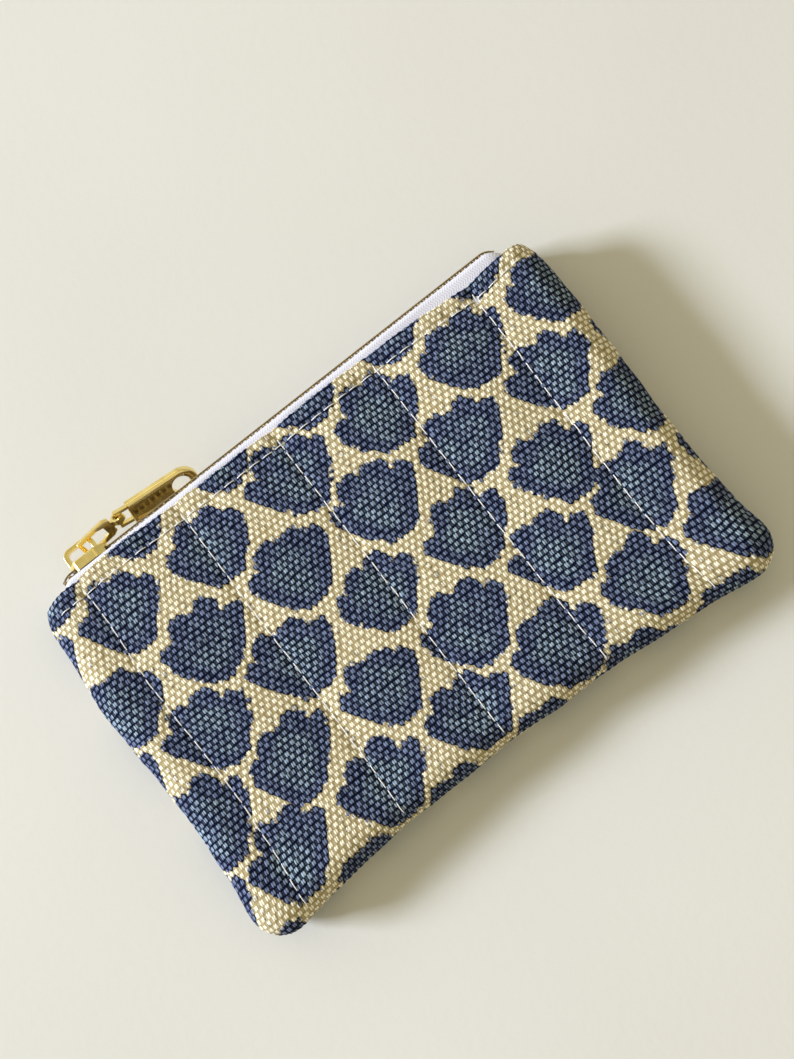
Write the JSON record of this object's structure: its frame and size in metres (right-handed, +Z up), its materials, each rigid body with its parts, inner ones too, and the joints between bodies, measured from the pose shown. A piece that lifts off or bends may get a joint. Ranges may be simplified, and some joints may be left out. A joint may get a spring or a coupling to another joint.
{
  "type": "zippered pouch",
  "caption": "Small flat quilted canvas pouch with a blue shell print, a coil zipper along one long edge and a gilt link and oval tab as its pull.",
  "frame": {"origin": "on the flat back that the pouch rests on, midway along its width, 42 mm from the bottom seam", "axes": "+X along the zipper from its closed end to its open end, +Y from the bottom seam to the zipper, +Z up through the pouch from its back to its front"},
  "size_m": [0.13, 0.0923, 0.0125],
  "materials": {
    "printed_canvas": "matte",
    "batting": "matte",
    "lining_cloth": "matte",
    "zipper_tape": "matte",
    "coil_nylon": "satin",
    "coil_thread": "matte",
    "white_thread": "satin",
    "gold_metal": "polished"
  },
  "bodies": {
    "pouch_back": {"outer_back_panel": "printed_canvas", "batting_back": "batting", "lining_back": "lining_cloth", "zipper_tape_back": "zipper_tape", "coil_back": "coil_nylon", "coil_cord_back": "coil_thread", "coil_stitching_back": "coil_thread", "topstitch_back": "white_thread", "quilting_back": "white_thread", "seam_thread": "white_thread"},
    "pouch_front": {"outer_front_panel": "printed_canvas", "batting_front": "batting", "lining_front": "lining_cloth", "zipper_tape_front": "zipper_tape", "coil_front": "coil_nylon", "coil_cord_front": "coil_thread", "coil_stitching_front": "coil_thread", "topstitch_front": "white_thread", "quilting_front": "white_thread"},
    "slider": {"slider_body": "gold_metal", "slider_crown": "gold_metal"},
    "pull_link": {"pull_link": "gold_metal"},
    "pull_tab": {"pull_tab": "gold_metal"}
  },
  "joints": [
    {"name": "slider_travel", "type": "slide", "parent": "pouch_back", "child": "slider", "axis": [1, 0, 0], "range_m": [0, 0.1], "deforming": ["coil_front", "coil_cord_front", "coil_stitching_front", "coil_back", "coil_cord_back", "coil_stitching_back"]},
    {"name": "mouth_open", "type": "hinge", "parent": "pouch_back", "child": "pouch_front", "pos_m": [0, -0.042, 0.00625], "axis": [1, 0, 0], "range_deg": [0, 12]},
    {"name": "link_swing", "type": "hinge", "parent": "slider", "child": "pull_link", "pos_m": [-0.0504, 0.04755, 0.00625], "axis": [0, 0, 1], "range_deg": [0, 145]},
    {"name": "tab_swing", "type": "hinge", "parent": "pull_link", "child": "pull_tab", "pos_m": [-0.04055, 0.04858, 0.00625], "axis": [0, 0, 1], "range_deg": [0, 55]}
  ],
  "couplings": [
    {"joint": "mouth_open", "follows": "slider_travel", "rad_per_m": 2.09}
  ]
}
